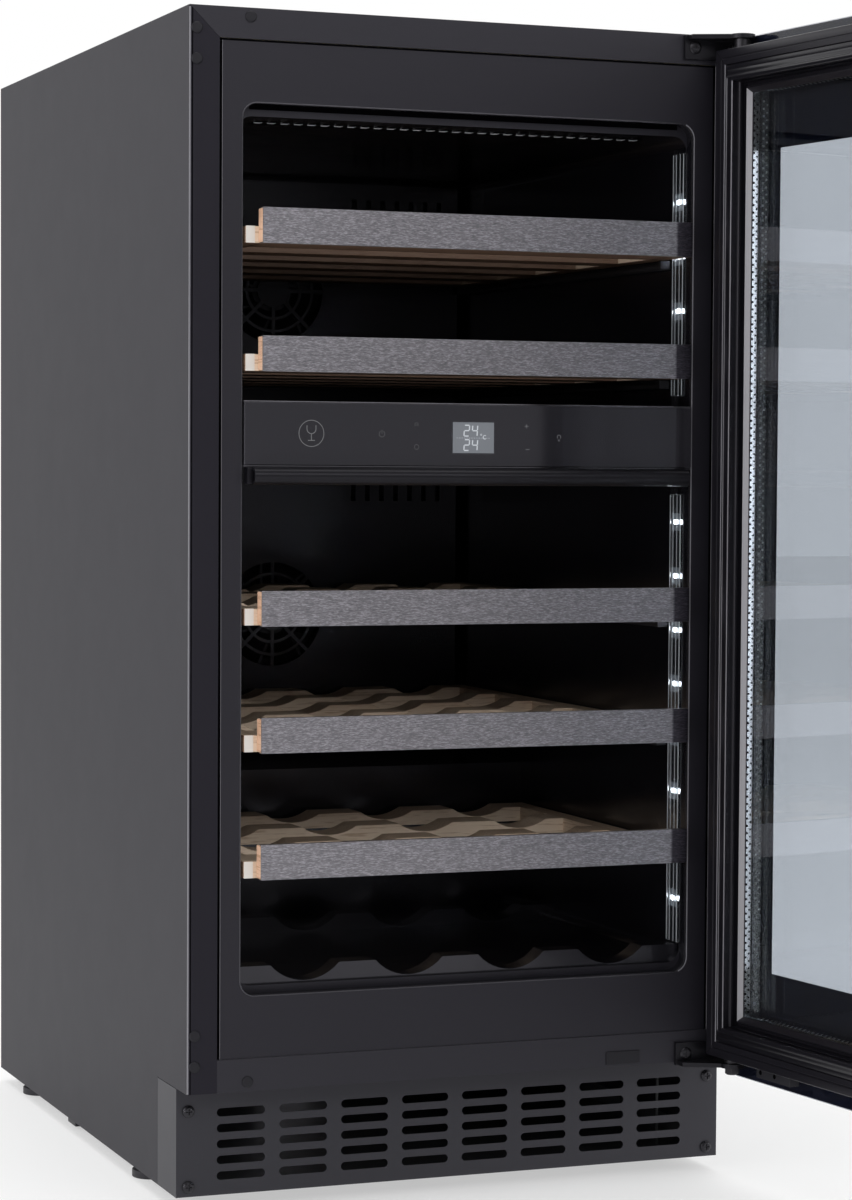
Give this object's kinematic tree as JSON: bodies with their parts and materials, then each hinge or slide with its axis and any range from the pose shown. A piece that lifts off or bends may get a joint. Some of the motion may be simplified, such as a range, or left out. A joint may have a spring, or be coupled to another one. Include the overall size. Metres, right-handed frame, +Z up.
{
  "type": "wine cooler",
  "caption": "Under-counter wine cooler with two zones, hinged glass door, slide-out wooden shelves, glossy control strip and slotted kickplate.",
  "frame": {"origin": "centre of the cabinet's footprint, on the floor that the feet stand on", "axes": "+X to the cooler's right as its user faces the door, +Y to its back, +Z up; the door stands open at rest"},
  "size_m": [0.4761, 0.9322, 0.79],
  "materials": {
    "black_steel": "matt black powder coat on sheet steel",
    "zinc_steel": "zinc-coated sheet",
    "foam": "rigid foam insulation",
    "liner": "smooth black vacuum-formed liner",
    "black_plastic": "fine-textured black plastic",
    "screw_black": "blackened screw",
    "bracket_black": "satin black plate",
    "pin_steel": "turned steel",
    "panel_gloss": "glossy black fascia",
    "display": "pale lit display",
    "rubber": "soft black rubber",
    "lens": "clear light strip",
    "aluminium": "mill finish",
    "copper": "copper tube",
    "wood": "sanded beech",
    "trim_steel": "brushed dark stainless",
    "door_glass": "tinted safety glass with a black printed border",
    "clear_glass": "clear glass",
    "bush": "acetal"
  },
  "bodies": {
    "cabinet": {"left_side_panel": "black_steel", "right_side_panel": "black_steel", "top_panel": "black_steel", "bottom_rail": "black_steel", "base_tray": "zinc_steel", "back_panel": "zinc_steel", "bay_shield": "zinc_steel", "insulation_foam": "foam", "inner_liner": "liner", "kickplate": "black_steel", "kickplate_screws": "screw_black", "hole_plugs": "black_plastic", "top_hinge_bracket": "bracket_black", "bottom_hinge_bracket": "bracket_black", "hinge_screws": "screw_black", "hinge_pins": "pin_steel", "control_housing": "black_plastic", "zone_divider": "liner", "control_fascia": "panel_gloss", "display_module": "display", "divider_seal": "rubber", "led_lenses": "lens", "shelf_supports": "black_plastic", "upper_duct_cover": "black_plastic", "lower_duct_cover": "black_plastic", "evaporators": "aluminium", "fan_frames": "black_plastic", "compressor": "black_steel", "condenser": "aluminium", "condenser_fan_frame": "black_plastic", "refrigerant_pipes": "copper", "power_inlet": "black_plastic", "rear_grille": "black_steel", "base_pads": "black_plastic"},
    "door": {"door_frame": "black_plastic", "outer_glass": "door_glass", "middle_glass": "clear_glass", "inner_glass": "clear_glass", "glass_spacers": "aluminium", "door_gasket": "rubber", "door_handle": "bracket_black", "door_stop_block": "black_plastic", "hinge_bushes": "bush"},
    "shelf_1": {"shelf_1_frame": "wood", "shelf_1_trim": "trim_steel"},
    "shelf_2": {"shelf_2_frame": "wood", "shelf_2_trim": "trim_steel"},
    "shelf_3": {"shelf_3_frame": "wood", "shelf_3_trim": "trim_steel"},
    "shelf_4": {"shelf_4_frame": "wood", "shelf_4_trim": "trim_steel"},
    "shelf_5": {"shelf_5_frame": "wood", "shelf_5_trim": "trim_steel"},
    "foot_front_left_body": {"foot_front_left": "black_plastic"},
    "foot_front_right_body": {"foot_front_right": "black_plastic"},
    "foot_rear_left_body": {"foot_rear_left": "black_plastic"},
    "foot_rear_right_body": {"foot_rear_right": "black_plastic"},
    "upper_rotor": {"upper_fan_rotor": "black_plastic"},
    "lower_rotor": {"lower_fan_rotor": "black_plastic"},
    "condenser_rotor": {"condenser_fan_rotor": "black_plastic"}
  },
  "joints": [
    {"name": "door_hinge", "type": "hinge", "parent": "cabinet", "child": "door", "pos_m": [0.1865, -0.2845, 0.41], "axis": [0, 0, 1], "range_deg": [-96.8, 13.2]},
    {"name": "shelf_1_slide", "type": "slide", "parent": "cabinet", "child": "shelf_1", "axis": [0, -1, 0], "range_m": [0, 0.27]},
    {"name": "shelf_2_slide", "type": "slide", "parent": "cabinet", "child": "shelf_2", "axis": [0, -1, 0], "range_m": [0, 0.27]},
    {"name": "shelf_3_slide", "type": "slide", "parent": "cabinet", "child": "shelf_3", "axis": [0, -1, 0], "range_m": [0, 0.27]},
    {"name": "shelf_4_slide", "type": "slide", "parent": "cabinet", "child": "shelf_4", "axis": [0, -1, 0], "range_m": [0, 0.27]},
    {"name": "shelf_5_slide", "type": "slide", "parent": "cabinet", "child": "shelf_5", "axis": [0, -1, 0], "range_m": [0, 0.18]},
    {"name": "foot_front_left_adjust", "type": "slide", "parent": "cabinet", "child": "foot_front_left_body", "axis": [0, 0, -1], "range_m": [0, 0.015]},
    {"name": "foot_front_right_adjust", "type": "slide", "parent": "cabinet", "child": "foot_front_right_body", "axis": [0, 0, -1], "range_m": [0, 0.015]},
    {"name": "foot_rear_left_adjust", "type": "slide", "parent": "cabinet", "child": "foot_rear_left_body", "axis": [0, 0, -1], "range_m": [0, 0.015]},
    {"name": "foot_rear_right_adjust", "type": "slide", "parent": "cabinet", "child": "foot_rear_right_body", "axis": [0, 0, -1], "range_m": [0, 0.015]},
    {"name": "upper_fan_spin", "type": "hinge", "parent": "cabinet", "child": "upper_rotor", "pos_m": [0, 0.1835, 0.632], "axis": [0, 1, 0], "continuous": true},
    {"name": "lower_fan_spin", "type": "hinge", "parent": "cabinet", "child": "lower_rotor", "pos_m": [0, 0.1835, 0.376], "axis": [0, 1, 0], "continuous": true},
    {"name": "condenser_fan_spin", "type": "hinge", "parent": "cabinet", "child": "condenser_rotor", "pos_m": [-0.1035, 0.1335, 0.074], "axis": [0, 1, 0], "continuous": true}
  ]
}
